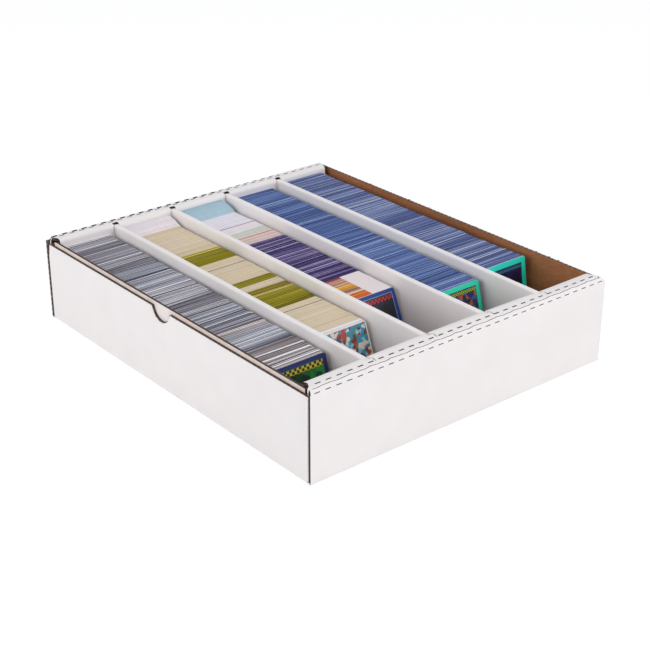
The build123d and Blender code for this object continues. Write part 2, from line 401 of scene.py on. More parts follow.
def pull_out(bm, edges, shift):
    """Extrudes edges by a shift, and gives the edges that the new strip ends in."""
    strip = bmesh.ops.extrude_edge_only(bm, edges=edges)["geom"]
    moved = [item for item in strip if isinstance(item, BMVert)]
    bmesh.ops.translate(bm, vec=shift, verts=moved)
    return [item for item in strip if isinstance(item, BMEdge) and all(v in moved for v in item.verts)]


def join_layers(layers):
    """One mesh out of a piece's separate layers."""
    joined = bmesh.new()
    for layer in layers:
        scrap = bpy.data.meshes.new("layer")
        layer.to_mesh(scrap)
        layer.free()
        joined.from_mesh(scrap)
        bpy.data.meshes.remove(scrap)
    return joined


def add_object(name, bm, materials):
    """Puts a mesh in the scene as an object."""
    mesh = bpy.data.meshes.new(name)
    bm.to_mesh(mesh)
    bm.free()
    for material in materials:
        mesh.materials.append(material)
    thing = bpy.data.objects.new(name, mesh)
    bpy.context.scene.collection.objects.link(thing)
    return thing


def finish_piece(name, bm, materials, node, replaced=True):
    """Turns a mesh in millimetres into a piece in metres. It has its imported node's body and
    finish, and stands for that node unless told otherwise."""
    bmesh.ops.scale(bm, vec=(MM, MM, MM), verts=bm.verts)
    piece = add_object(name, bm, materials)
    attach(piece, body_of[node])
    if replaced:
        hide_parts(node)


# Flat panels of the tray

Gap = namedtuple("Gap", "low high")


class Panel:
    """A flat panel's place: its axes, and its size up to the folds on its sides. It may rise
    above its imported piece."""

    def __init__(self, node, along, up, folds, rise):
        low, high = corners(node)
        high.z += rise
        middle, half = (low + high) / 2, (high - low) / 2
        self.along, self.up, self.out = along, up, along.cross(up)
        self.middle = middle + self.out * abs(half.dot(self.out))
        self.size = []
        for axis in (along, up):
            reach = 2 * abs(half.dot(axis))
            for side in (axis, -axis):
                if side in folds:
                    reach -= FOLD_RADIUS
                    self.middle -= side * FOLD_RADIUS / 2
            self.size.append(reach)

    def sheet(self, depth, columns=1, rows=1):
        """A sheet of the panel's size that lies that deep under its outer face."""
        axes = Matrix((self.along, self.up, self.out)).transposed().to_4x4()
        place = Matrix.Translation(self.middle - self.out * depth)
        size = Matrix.Diagonal((*self.size, 1, 1))
        bm = bmesh.new()
        place = place @ axes @ size
        bmesh.ops.create_grid(bm, x_segments=columns, y_segments=rows, size=0.5, matrix=place)
        return bm

    def cut_gaps(self, bm, gaps):
        """Cuts rectangular gaps out of a sheet."""
        lines = [abs_axis(self.along), abs_axis(self.up)]
        for line in lines:
            cut_across(bm, line, sorted({edge.dot(line) for gap in gaps for edge in gap}))
        for gap in gaps:
            drop_faces(
                bm,
                lambda middle: all(
                    gap.low.dot(line) < middle.dot(line) < gap.high.dot(line) for line in lines
                ),
            )


def abs_axis(axis):
    """The same axis, pointing the positive way."""
    return Vector([abs(part) for part in axis])


def notch_arc(inset):
    """The radius of the notch's arc and half its width, for a layer that stands that far
    back from the cut edge."""
    radius = (NOTCH_WIDTH**2 / 4 + NOTCH_DEPTH**2) / (2 * NOTCH_DEPTH)
    return radius + inset, sqrt((2 * radius + 2 * inset - NOTCH_DEPTH) * NOTCH_DEPTH)


def cut_notch(bm, inset):
    """Cuts a sheet along the notch's arc, in even steps, and bends its top edge down to it."""
    radius, half_width = notch_arc(inset)
    turn = asin(half_width / radius)
    steps = range(NOTCH_STEPS + 1)
    cut_across(bm, X, [NOTCH_X + radius * sin(turn * (2 * k / NOTCH_STEPS - 1)) for k in steps])
    top = max(vert.co.z for vert in bm.verts)
    centre = top + sqrt(radius**2 - half_width**2)
    for vert in bm.verts:
        aside = vert.co.x - NOTCH_X
        if abs(vert.co.z - top) < NEAR and abs(aside) < half_width:
            vert.co.z = centre - sqrt(radius**2 - aside**2)


def ripple(bm, across, start, out):
    """Waves a flat sheet across its flutes."""
    for vert in bm.verts:
        phase = 2 * pi * (vert.co.dot(across) - start) / FLUTE_PITCH
        vert.co += out * FLUTE_HEIGHT * sin(phase)


def fold_back(liner, out, sides):
    """Turns a liner's edges on those sides over their folds and back through the board."""
    hems = []
    for side in sides:
        reach = max(vert.co.dot(side) for vert in liner.verts)
        hems.append([e for e in liner.edges if all(v.co.dot(side) > reach - NEAR for v in e.verts)])
    for side, hem in zip(sides, hems):
        turned = bmesh.ops.spin(
            liner,
            geom=hem,
            cent=hem[0].verts[0].co - out * FOLD_RADIUS,
            axis=out.cross(side),
            angle=pi / 2,
            steps=FOLD_STEPS,
        )
        last = [item for item in turned["geom_last"] if isinstance(item, BMEdge)]
        pull_out(liner, last, -out * (BOARD - FOLD_RADIUS))
    bmesh.ops.recalc_face_normals(liner, faces=liner.faces[:])


def board_panel(
    node, along, up, across, paper, gaps=(), folds=(), notched=False, cut=None, bulged=False, rise=0.0
):
    """A panel of the tray's board: liner, fluted medium and inner liner, with its cut-outs."""
    panel = Panel(node, along, up, folds, rise)
    waves_along = abs(across.dot(along)) > 0.5
    steps = round(panel.size[0 if waves_along else 1] / FLUTE_PITCH * FLUTE_STEPS)
    liner = panel.sheet(0.0)
    inner = panel.sheet(BOARD)
    medium = panel.sheet(BOARD / 2, *((steps, 1) if waves_along else (1, steps)))
    start = min(vert.co.dot(across) for vert in medium.verts)
    for bm in (liner, inner, medium):
        if gaps:
            panel.cut_gaps(bm, gaps)
        if notched:
            crush_top_edge(bm, *((EDGE_CRUSH, LINER_BEND) if bm is liner else (0.0, EDGE_BEND)))
        if cut:
            everything = bm.verts[:] + bm.edges[:] + bm.faces[:]
            place, slope = cut
            bmesh.ops.bisect_plane(bm, geom=everything, plane_co=place, plane_no=slope, clear_outer=True)
        if bulged:
            cut_across(bm, Z, BULGE_ROWS)
            cut_across(bm, Y, BULGE_COLUMNS)
    if folds:
        fold_back(liner, panel.out, folds)
    outward_side(liner, panel.out)
    outward_side(inner, -panel.out)
    thicken(liner, LINER, OUTSIDE)
    thicken(inner, LINER, INSIDE, MIDDLE)
    ripple(medium, across, start, panel.out)
    thicken(medium, MEDIUM, MIDDLE)
    for bm in (liner, medium):
        soften(bm)
    joined = join_layers([liner, inner, medium])
    if bulged:
        top = corners(node)[1].z
        for vert in joined.verts:
            vert.co.x -= bulge(vert.co.y)[0] * (vert.co.z / top) ** BULGE_POWER
    finish_piece(f"{node}_board", joined, paper, node)


def crush_top_edge(bm, inset, bend):
    """Stands a layer of the front wall back from its cut top edge, notch and all, and bends
    its top over towards the inner panel."""
    top = max(vert.co.z for vert in bm.verts)
    for vert in bm.verts:
        if vert.co.z > top - NEAR:
            vert.co.z -= inset
    cut_notch(bm, inset)
    floor = top - NOTCH_DEPTH - 2 * EDGE_CRUSH
    cut_across(bm, Z, [floor])
    for vert in bm.verts:
        if vert.co.z > floor + NEAR:
            vert.co.y += bend


# The rolled edges

def roll_ends(side, distance):
    """Where the roll's mitred ends lie along Y, at a distance from the tray's middle."""
    outer_low, outer_high = corners(f"{side}_rolled_edge")
    inner_low, inner_high = corners(f"{side}_inner_panel")
    fold = max(abs(outer_low.x), abs(outer_high.x))
    nose_start = min(abs(outer_low.x), abs(outer_high.x)) + ROLL_NOSE
    share = max(0.0, (distance - nose_start) / (fold - nose_start))
    return (
        inner_low.y + (outer_low.y - inner_low.y) * share,
        inner_high.y + (outer_high.y - inner_high.y) * share,
    )


def bulge(y):
    """How far the right roll bulges over the cards, and up, at a place along it."""
    swell = max(0.0, 1 - ((y - BULGE_MIDDLE) / BULGE_REACH) ** 2)
    return BULGE_END + BULGE_SWELL * swell, BULGE_RISE * swell


class Roll:
    """The profile that a rolled edge follows, by distance along it from the outer fold."""

    def __init__(self, side, depth):
        low, high = corners(f"{side}_rolled_edge")
        self.side = side
        self.sign = 1 if side == "right" else -1
        self.depth = depth
        outer = max(abs(low.x), abs(high.x))
        inner = min(abs(low.x), abs(high.x))
        self.fold = Vector((outer - depth, low.z))
        self.crest = Vector((outer - ROLL_SLOPE_RUN - depth / 2, high.z - depth))
        self.nose = Vector((inner + ROLL_NOSE, high.z - depth))
        self.nose_radius = ROLL_NOSE - depth
        self.slope_length = (self.crest - self.fold).length
        self.nose_at = self.slope_length + self.crest.x - self.nose.x
        self.length = self.nose_at + self.nose_radius * pi / 2

    def nose_stations(self, steps):
        """Even stations round the nose."""
        return [self.nose_at + (self.length - self.nose_at) * k / steps for k in range(steps + 1)]

    def point(self, run):
        """Distance from the tray's middle, and height, that far along the profile."""
        if run < self.slope_length:
            return self.fold.lerp(self.crest, run / self.slope_length)
        if run < self.nose_at:
            return Vector((self.crest.x - (run - self.slope_length), self.crest.y))
        turn = (run - self.nose_at) / self.nose_radius
        return self.nose + Vector((-sin(turn), cos(turn) - 1)) * self.nose_radius

    def sheet(self, stations):
        """A sheet over the roll with a line at each station, cut to the mitred ends."""
        columns = len(stations) - 1
        bm = bmesh.new()
        bmesh.ops.create_grid(bm, x_segments=columns, y_segments=1, size=0.5)
        for vert in bm.verts:
            column = round((vert.co.x + 0.5) * columns)
            distance, height = self.point(stations[column])
            ends = roll_ends(self.side, distance)
            vert.co = (self.sign * distance, ends[1 if vert.co.y > 0 else 0], height)
        return bm

    def settle(self, bm):
        """Lets a layer of the right roll bulge inwards at its nose and up along its top."""
        for vert in bm.verts:
            distance = abs(vert.co.x)
            inwards, upwards = bulge(vert.co.y)
            over_nose = (self.nose.x - distance) / self.nose_radius
            along_top = (self.crest.x - distance) / (self.crest.x - self.nose.x)
            height = (vert.co.z - self.fold.y) / self.nose_radius
            vert.co.x -= inwards * min(max(over_nose, 0.0), 1.0)
            vert.co.z += upwards * min(max(along_top, 0.0), 1.0) * min(max(height, 0.0), 1.0)


def divider_slots():
    """Where the slots for the dividers start and stop along Y."""
    boxes = [corners(f"divider_{number}") for number in DIVIDERS]
    return [(low.y - SLOT_PLAY, high.y + SLOT_PLAY) for low, high in boxes]


def dash_ends(first, low, high):
    """Starts and stops along Y of a line of perforations between two places."""
    dashes = []
    middle = first
    while middle < high:
        dashes.append((max(low, middle - DASH_LENGTH / 2), middle + DASH_LENGTH / 2))
        middle += DASH_PITCH
    return dashes


def meander(y):
    """How far the crushed crease wanders, from -1 to 1."""
    return sum(share * sin(y / length + phase) for share, length, phase in MEANDER)


def hang_tongue(cover, low, high, end, steps):
    """Bends the strip of liner between two places across the roll down over the roll's end."""
    hem = [
        edge
        for edge in cover.edges
        if edge.is_boundary
        and all(low < abs(v.co.x) < high for v in edge.verts)
        and all(v.co.y * end > END_HOLE - TONGUE_ROOT for v in edge.verts)
        and abs(edge.verts[0].co.x - edge.verts[1].co.x) > TONGUE_EDGE
    ]
    for out, down in steps:
        hem = pull_out(cover, hem, (0, end * out, -down))


def turn_down_slot_edges(cover, slots, slot_line, height):
    """Turns the liner's edges down into the slots, where the dividers press on them."""
    borders = [place for slot in slots for place in slot]
    hem = [
        edge
        for edge in cover.edges
        if edge.is_boundary
        and all(v.co.z > height and abs(v.co.x) < slot_line + NEAR for v in edge.verts)
        and any(all(abs(v.co.y - place) < NEAR for v in edge.verts) for place in borders)
    ]
    pull_out(cover, hem, (0, 0, -SLOT_HEM))


class RollCuts:
    """A rolled edge's creases and cuts: the divider slots, the slits beside them, two lines
    of perforations and, on the left, the torn corners. A line is across the roll, at a
    distance from the tray's middle."""

    def __init__(self, roll):
        low, high = corners(f"{roll.side}_rolled_edge")
        self.roll = roll
        self.slots = divider_slots()
        self.slot_line = corners("divider_1")[1].x + SLOT_RUN_OUT[roll.side]
        self.outer_dashes = dash_ends(OUTER_DASH_START, low.y, high.y)
        self.inner_dashes = dash_ends(INNER_DASH_START, low.y, high.y)
        self.inner_station = roll.slope_length + INNER_DASH_INSET - ROLL_SLOPE_RUN
        self.dash_line = roll.point(self.inner_station).x
        if roll.side == "right":
            self.slits = [(stop - SLIT_WIDTH, stop) for start, stop in self.slots]
            creases = [-CRUSH_MARGIN, -CRUSH_HALF_WIDTH, -SHADE_CRACK_WIDTH / 2]
            self.creases = creases + [-crease for crease in reversed(creases)]
            self.fold_stations = [OUTER_DASH_INSET, OUTER_DASH_INSET + OUTER_DASH_WIDTH, SLOPE_STATION]
        else:
            self.slits = []
            self.creases = [0.0, CREST_STRIP] + [width for width, until in reversed(TORN_DASHES)]
            self.fold_stations = [SLOPE_STATION]
        self.openings = self.slots + self.inner_dashes + self.slits
        self.tongue_line = roll.crest.x - self.creases[-1]

    def stations(self):
        """The stations along the profile that the outer liner needs."""
        slope_length, half = self.roll.slope_length, INNER_DASH_WIDTH / 2
        stations = [0.0] + self.fold_stations + [slope_length + crease for crease in self.creases]
        stations += [self.inner_station - half, self.inner_station + half]
        stations.append(slope_length + self.roll.crest.x - self.slot_line)
        return stations + self.roll.nose_stations(NOSE_STEPS)

    def through_board(self, middle):
        """Whether a cut goes through the whole board at a place."""
        distance = abs(middle.x)
        openings = self.slots if distance < self.slot_line else []
        if abs(distance - self.dash_line) < INNER_DASH_WIDTH / 2:
            openings = self.inner_dashes + self.slits
        elif self.slot_line < distance < self.dash_line:
            openings = self.slits
        if self.roll.side == "left" and abs(middle.y) > END_HOLE:
            if self.tongue_line < distance < self.roll.crest.x + END_HOLE_REACH:
                return True
        return any(start < middle.y < stop for start, stop in openings)

    def through_liner(self, middle):
        """Whether a cut goes through the outer liner at a place."""
        distance, crest = abs(middle.x), self.roll.crest.x
        if self.roll.side == "right":
            # painted shade: the split along the crest shows the dark medium as the crease's shadow
            gape = CRUSH_HALF_WIDTH if middle.y > CREASE_TEAR else SHADE_CRACK_WIDTH / 2
            if abs(distance - crest) < gape:
                return True
            near_end, far_end = [self.roll.point(station).x for station in self.fold_stations[1::-1]]
            on_line = near_end < distance < far_end
        else:
            torn = next(width for width, until in TORN_DASHES if middle.y < until)
            on_line = crest - torn < distance < crest - CREST_STRIP
        if on_line and any(start < middle.y < stop for start, stop in self.outer_dashes):
            return True
        return self.through_board(middle)


def crush_crease(cover, crest):
    """Dents the outer liner along the roll's crest, where the crushed crease wanders."""
    for vert in cover.verts:
        aside = hypot(abs(vert.co.x) - crest.x, vert.co.z - crest.y)
        if aside < (CRUSH_HALF_WIDTH + CRUSH_MARGIN) / 2:
            vert.co.x += meander(vert.co.y)
            if aside < SHADE_CRACK_WIDTH:
                vert.co.z -= CRUSH_DEPTH


def roll_cover(roll, cuts):
    """The outer liner of a rolled edge, with its cuts and crease, and with small tongues that
    hang over its ends."""
    cover = roll.sheet(cuts.stations())
    places = {end for opening in cuts.openings + cuts.outer_dashes for end in opening}
    cut_across(cover, Y, sorted(places | {-END_HOLE, END_HOLE, CREASE_TEAR}))
    drop_faces(cover, cuts.through_liner)
    tongue_start, tongue_end = cuts.dash_line + INNER_DASH_WIDTH / 2 - NEAR, cuts.tongue_line + NEAR
    if roll.side == "right":
        turn_down_slot_edges(cover, cuts.slots, cuts.slot_line, roll.crest.y - SLOT_HEM)
        crush_crease(cover, roll.crest)
        hang_tongue(cover, tongue_start, roll.crest.x + RIGHT_TONGUE_REACH, -1, RIGHT_TONGUE)
    else:
        hang_tongue(cover, tongue_start, tongue_end, -1, LEFT_TONGUE)
    hang_tongue(cover, tongue_start, tongue_end, 1, BACK_TONGUE)
    bmesh.ops.recalc_face_normals(cover, faces=cover.faces[:])
    outward_side(cover, Z)
    return cover


def rolled_edge(side, paper):
    """The strip that rolls over an end wall, with its perforations and its crushed crease."""
    roll, flutes, under = [Roll(side, depth) for depth in (0.0, BOARD / 2, BOARD)]
    cuts = RollCuts(roll)
    cover = roll_cover(roll, cuts)
    lining = under.sheet([0.0, under.slope_length] + under.nose_stations(LINING_STEPS))
    steps = round(flutes.length / FLUTE_PITCH * FLUTE_STEPS)
    medium = flutes.sheet([flutes.length * k / steps for k in range(steps + 1)])
    places = {end for opening in cuts.openings for end in opening}
    half = INNER_DASH_WIDTH / 2
    lines = [cuts.slot_line, cuts.dash_line - half, cuts.dash_line + half, cuts.tongue_line]
    for bm in (lining, medium):
        cut_across(bm, Y, sorted(places | {-END_HOLE, END_HOLE}))
        cut_across(bm, X, [roll.sign * line for line in lines])
        drop_faces(bm, cuts.through_board)
    for vert in medium.verts:
        ahead = roll.crest.x - abs(vert.co.x)
        wave = CRUSHED_WAVE if ahead < CRUSHED_REACH else sin(2 * pi * ahead / FLUTE_PITCH)
        vert.co.z += FLUTE_HEIGHT * wave
    outward_side(lining, -Z)
    outward_side(medium, Z)
    layers = (
        (cover, roll, LINER, OUTSIDE),
        (lining, under, LINER, INSIDE),
        (medium, flutes, MEDIUM, MIDDLE),
    )
    for bm, profile, thickness, kind in layers:
        if side == "right":
            profile.settle(bm)
        thicken(bm, thickness, kind, MIDDLE)
        soften(bm)
    node = f"{side}_rolled_edge"
    finish_piece(f"{node}_board", join_layers([cover, lining, medium]), paper, node)


# The dividers

EAR_RADII = {"left": 4.0, "right": 0.6}
DIVIDER_END_PLAY = 0.3
EAR_BOTTOM = SEAT_HEIGHT + DIVIDER_END_PLAY
BODY_END = corners("right_inner_panel")[0].x - DIVIDER_END_PLAY
SPANS = 3  # along X: an ear, the body and an ear
RIDGE_STEPS = 12
RIDGE_SQUARENESS = 0.55  # 1 is a half circle, and less is a flatter ridge with tighter folds


def is_under_ear(middle):
    """Whether a place is beyond a divider's body and under its ear."""
    return abs(middle.x) > BODY_END and middle.z < EAR_BOTTOM


def divider_sheet(low, high):
    """A folded sheet round a divider, up one face, over its ridge and down the other."""
    middle_y, half_thickness = (low.y + high.y) / 2, (high.y - low.y) / 2
    fold_height = high.z - half_thickness
    heights = [low.z, EAR_BOTTOM, high.z - EAR_RADII["left"]]
    side = [(half_thickness, z) for z in heights if z < fold_height]
    ridge = []
    for step in range(RIDGE_STEPS + 1):
        turn = pi * step / RIDGE_STEPS
        across = abs(cos(turn)) ** RIDGE_SQUARENESS * (1 if turn < pi / 2 else -1)
        rise = abs(sin(turn)) ** RIDGE_SQUARENESS
        ridge.append((half_thickness * across, fold_height + half_thickness * rise))
    path = side + ridge + [(-y, z) for y, z in reversed(side)]
    rows = len(path) - 1
    bm = bmesh.new()
    bmesh.ops.create_grid(bm, x_segments=SPANS, y_segments=rows, size=0.5)
    for vert in bm.verts:
        column = round((vert.co.x + 0.5) * SPANS)
        y, z = path[round((vert.co.y + 0.5) * rows)]
        radius = EAR_RADII["right" if column > 1 else "left"]
        drop = max(0.0, z - high.z + radius)
        end = high.x - radius + sqrt(max(0.0, radius**2 - drop**2))
        x = min(BODY_END, end) if column in (1, 2) else end
        vert.co = (x if column > 1 else -x, middle_y + y, z)
    drop_faces(bm, is_under_ear)
    return bm


def leaf_sheet(low, high, offset, columns):
    """A flat sheet inside one leaf of a divider, as long as the ears above their seat."""
    bm = bmesh.new()
    top = high.z - EAR_RADII["left"]
    place = Matrix.Translation((0, (low.y + high.y) / 2 + offset, (low.z + top) / 2))
    turn = Matrix.Rotation(pi / 2, 4, "X")
    size = Matrix.Diagonal((2 * high.x, top - low.z, 1, 1))
    bmesh.ops.create_grid(bm, x_segments=columns, y_segments=1, size=0.5, matrix=place @ turn @ size)
    cut_across(bm, Z, [EAR_BOTTOM])
    cut_across(bm, X, [-BODY_END, BODY_END])
    drop_faces(bm, is_under_ear)
    return bm


def divider(number, paper):
    """A board folded double along its top: a folded cover over two fluted leaves."""
    node = f"divider_{number}"
    low, high = corners(node)
    middle_y, half_thickness = (low.y + high.y) / 2, (high.y - low.y) / 2
    cover = divider_sheet(low, high)
    outward_side(cover, Z)
    for face in cover.faces:
        aside = face.calc_center_median().y - middle_y
        if abs(aside) > 1 and face.normal.y * aside < 0:
            face.normal_flip()
    thicken(cover, LINER, OUTSIDE)
    inner_face = half_thickness - BOARD
    leaf_middle = (half_thickness + inner_face) / 2
    columns = round(2 * high.x / FLUTE_PITCH * FLUTE_STEPS)
    layers = [cover]
    for side, sign in SIDES:
        lining = leaf_sheet(low, high, sign * inner_face, 1)
        outward_side(lining, Y * -sign)
        thicken(lining, LINER, INSIDE)
        medium = leaf_sheet(low, high, sign * leaf_middle, columns)
        ripple(medium, X, -high.x, Y)
        thicken(medium, MEDIUM, MIDDLE)
        layers += [lining, medium]
    for bm in layers:
        soften(bm)
    finish_piece(f"{node}_board", join_layers(layers), paper, node)


# The cards

def add_card(bm, thickness, corner_steps):
    """An upright card with rounded corners, its back on the YZ plane and its foot at z = 0."""
    middle = Matrix.Translation((thickness / 2, 0, CARD_HEIGHT / 2))
    size = Matrix.Diagonal((thickness, CARD_WIDTH, CARD_HEIGHT, 1))
    bmesh.ops.create_cube(bm, size=1.0, matrix=middle @ size)
    through = [e for e in bm.edges if abs(e.verts[0].co.x - e.verts[1].co.x) > thickness / 2]
    bmesh.ops.bevel(
        bm,
        geom=through,
        offset=CARD_CORNER,
        offset_type="OFFSET",
        segments=corner_steps,
        profile=0.5,
        affect="EDGES",
        material=-1,
    )


def lean_of(node):
    """How far the farthest cards of a run lean back, in radians."""
    low, high = corners(node)
    return acos(min(1.0, (high.z - low.z) / CARD_HEIGHT))


# Inks of the cut edges, from their darkest cards to their lightest
SILVER = ["#1F1D24", "#6B6973", "#98959F", "#CAC7D1", "#FFFFFF"]
WARM_SILVER = ["#2A2024", "#786E74", "#A69C9F", "#D2CACD", "#FFFFFF"]
COOL_SILVER = ["#1C1E2A", "#6A6C7A", "#979AA8", "#C8CBD5", "#FFFFFF"]
PAPER_WHITE = ["#B9AEB0", "#EAE2E5", "#F4EEF1", "#FFFFFF"]
CREAM = ["#8E7850", "#DCCDB0", "#E9DCC8", "#F8F1E6"]
OLIVE = ["#5E5600", "#8C8000", "#9C9200", "#C9BF60"]
DEEP_OLIVE = ["#423C00", "#756E00", "#877F14", "#A8A040"]
LEAF = ["#5E6A10", "#8E9E2E", "#A6B23E", "#DCE08E"]
AMBER = ["#7A5200", "#A87A1E", "#BE8E30", "#DCC070"]
YELLOW = ["#A08E1E", "#CFBF4A", "#E0D47C", "#F4EEC0"]
SKY = ["#98B6C4", "#B2CDD9", "#BCD5E0", "#DCECF3"]
ICE = ["#CCCBD6", "#E9E6EE", "#F2EFF5", "#FBFAFE"]
MINT = ["#B2BAA6", "#CDD4C6", "#DBE0D4", "#EEF0E8"]
PINK = ["#C0A49E", "#E0CAC4", "#ECDBD5", "#F8EEEA"]
PURPLE = ["#1A1230", "#35265A", "#4B3C78", "#8074A8", "#E2DAF0"]
DEEP_BLUE = ["#0E1A4A", "#394D88", "#5C74AE", "#88A4D0", "#BACEEA"]
SLATE_BLUE = ["#141A40", "#3C4A83", "#5D6EA4", "#8E9EC4", "#CCD4E6"]
BLACK_LINE = ["#2C2A30", "#2C2A30", "#3A373E", "#3A373E"]
DARK_RED = ["#7A3A40", "#8E4A4E", "#8E4A4E", "#A0605E"]
RED = ["#B0484A", "#C25A58", "#C25A58", "#D08078"]
ROSE = ["#8E3A44", "#C0706E", "#D28E88", "#F2D8D0"]
SAND = ["#A87850", "#D8AE8A", "#E4C4A6", "#F8EEE0"]
GOLD = ["#C07A1E", "#E0A63E", "#EAB850", "#F6DC9A"]
UMBER = ["#6E4A44", "#96706A", "#B08A80", "#E0C8BE"]
ORANGE = ["#B4481A", "#D86A28", "#E2843C", "#F2B880"]

# A band of like cards: where it stops along X on the card tops, its inks, and how much of
# the usual variety from card to card it has
Band = namedtuple("Band", "until inks variety", defaults=(1.0,))

bands = {
    "row_1_silver_cards": [
        Band(-120.0, SILVER, 1.15), Band(-60.0, COOL_SILVER, 1.15), Band(20.0, SILVER, 1.15),
        Band(66.0, COOL_SILVER, 1.15), Band(82.0, WARM_SILVER, 1.15),
        Band(118.0, COOL_SILVER, 1.15), Band(REST, WARM_SILVER, 1.15),
    ],
    "row_2_white_cards": [Band(REST, PAPER_WHITE, 0.4)],
    "row_2_cream_cards": [Band(REST, CREAM, 0.45)],
    "row_2_olive_cards": [Band(-111.0, OLIVE), Band(-108.5, YELLOW), Band(REST, OLIVE)],
    "row_2_plain_cards": [
        Band(-63.6, CREAM, 0.4), Band(-62.4, BLACK_LINE), Band(REST, CREAM, 0.5),
    ],
    "row_2_green_cards": [
        Band(-22.0, LEAF), Band(-6.0, OLIVE), Band(7.0, CREAM), Band(12.0, DEEP_OLIVE),
        Band(14.0, AMBER), Band(17.0, DEEP_OLIVE), Band(21.0, YELLOW), Band(REST, OLIVE),
    ],
    "row_2_near_cards": [
        Band(69.6, CREAM, 0.4), Band(70.6, BLACK_LINE), Band(128.0, CREAM, 0.4),
        Band(REST, PAPER_WHITE),
    ],
    "row_3_sky_cards": [Band(REST, SKY, 0.3)],
    "row_3_pale_cards": [
        Band(-153.4, ICE, 0.5), Band(-152.0, DARK_RED), Band(-133.6, PAPER_WHITE, 0.5),
        Band(-121.6, MINT, 0.7), Band(-117.2, PINK, 0.7), Band(-115.8, RED), Band(REST, PINK, 0.7),
    ],
    "row_3_purple_cards": [Band(REST, PURPLE, 0.85)],
    "row_3_near_cards": [
        Band(38.0, DARK_RED), Band(45.0, ROSE), Band(53.0, SAND), Band(55.0, UMBER),
        Band(66.0, GOLD), Band(71.0, UMBER), Band(77.0, SAND), Band(REST, ORANGE),
    ],
    "row_4_blue_cards": [Band(REST, DEEP_BLUE, 0.9)],
    "row_5_blue_cards": [Band(REST, SLATE_BLUE)],
}

# How far a run stands off its row along Y, and how far its nearest card does
asides = {
    "row_3_purple_cards": (1.4, 1.4),
    "row_3_pale_cards": (0.8, 0.8),
    "row_4_blue_cards": (0.6, 0.6),
    "row_5_blue_cards": (-2.7, 0.0),
}
STRAIGHTENED = 120  # cards at the near end that come back in line

# Runs whose prints show on the cut edges more than others do
run_prints = {
    "row_3_purple_cards": {"run_off": 0.2},
    "row_3_near_cards": {"white_from": 2.0},
}

# How the cards are dealt: tones from 0, dark, to 1, light, and lengths in millimetres
BUNDLE_CARDS = (12, 60)
BUNDLE_TONE, BUNDLE_TONE_SPREAD = 0.47, 0.05
BUNDLE_SHIFT = 0.6
LIFT = 0.3  # of a bundle, and of a card in it
PACK_CARDS = (2, 2, 3, 3, 4, 5)
PACK_TONE_SPREAD = 0.125
PACK_CONTRAST = 0.4  # how much a pack tends to differ from the last one
PACK_SHIFT = 0.4
ODD_PACK_SHARE = 0.15
ODD_PACK_TONES = (-0.45, 0.5, 0.6)
ODD_PACK_CARDS = (1, 2, 2, 3)
TWO_TONE_SHARE = 0.3
TWO_TONE_STEPS = (-0.25, 0.25)
CARD_TONE_SPREAD = 0.14
CARD_SHIFT = 0.15
LIGHTEST = 0.999  # a little under 1, so that there is always a next ink


def ink_at(band, tone):
    """The linear colour between a band's inks, for a tone from 0, dark, to 1, light."""
    tone = 0.5 + (tone - 0.5) * band.variety
    place = min(max(tone, 0.0), LIGHTEST) * (len(band.inks) - 1)
    first, share = int(place), place % 1
    pair = zip(linear(band.inks[first]), linear(band.inks[first + 1]))
    return [a + (b - a) * share for a, b in pair]


Card = namedtuple("Card", "tones shift lift")


def deal_cards(count, seed):
    """The tones of each card's two ends, its shift along Y and its lift: cards go in as
    bundles, and a bundle holds a few packs of like cards."""
    chance = random.Random(seed)
    cards = []
    bundle_left, pack_left = 0, 0
    pack_tone = 0.0
    for _ in range(count):
        if bundle_left == 0:
            bundle_left = chance.randint(*BUNDLE_CARDS)
            bundle_tone = chance.gauss(BUNDLE_TONE, BUNDLE_TONE_SPREAD)
            bundle_shift = chance.uniform(-BUNDLE_SHIFT, BUNDLE_SHIFT)
            bundle_lift = chance.uniform(0.0, LIFT)
        if pack_left == 0:
            pack_left = chance.choice(PACK_CARDS)
            pack_tone = chance.gauss(0.0, PACK_TONE_SPREAD) - PACK_CONTRAST * pack_tone
            pack_shift = chance.uniform(-PACK_SHIFT, PACK_SHIFT)
            if chance.random() < ODD_PACK_SHARE:
                pack_tone = chance.choice(ODD_PACK_TONES)
                pack_left = chance.choice(ODD_PACK_CARDS)
            pack_tones = [pack_tone, pack_tone]
            if chance.random() < TWO_TONE_SHARE:
                pack_tones[chance.randint(0, 1)] += chance.choice(TWO_TONE_STEPS)
        bundle_left -= 1
        pack_left -= 1
        card_tone = bundle_tone + chance.gauss(0.0, CARD_TONE_SPREAD)
        shift = bundle_shift + pack_shift + chance.uniform(-CARD_SHIFT, CARD_SHIFT)
        lift = bundle_lift + chance.uniform(0.0, LIFT)
        cards.append(Card([card_tone + tone for tone in pack_tones], shift, lift))
    return cards


def upright_cards(count, pitch, thickness):
    """Like cards in a line along X, and the number of vertices that each has."""
    bm = bmesh.new()
    add_card(bm, thickness, PACKED_CORNER_STEPS)
    per_card = len(bm.verts)
    bmesh.ops.spin(
        bm,
        geom=bm.verts[:] + bm.edges[:] + bm.faces[:],
        cent=(0, 0, 0),
        axis=Z,
        dvec=X * pitch,
        angle=0.0,
        steps=count - 1,
        use_duplicate=True,
    )
    return bm, per_card


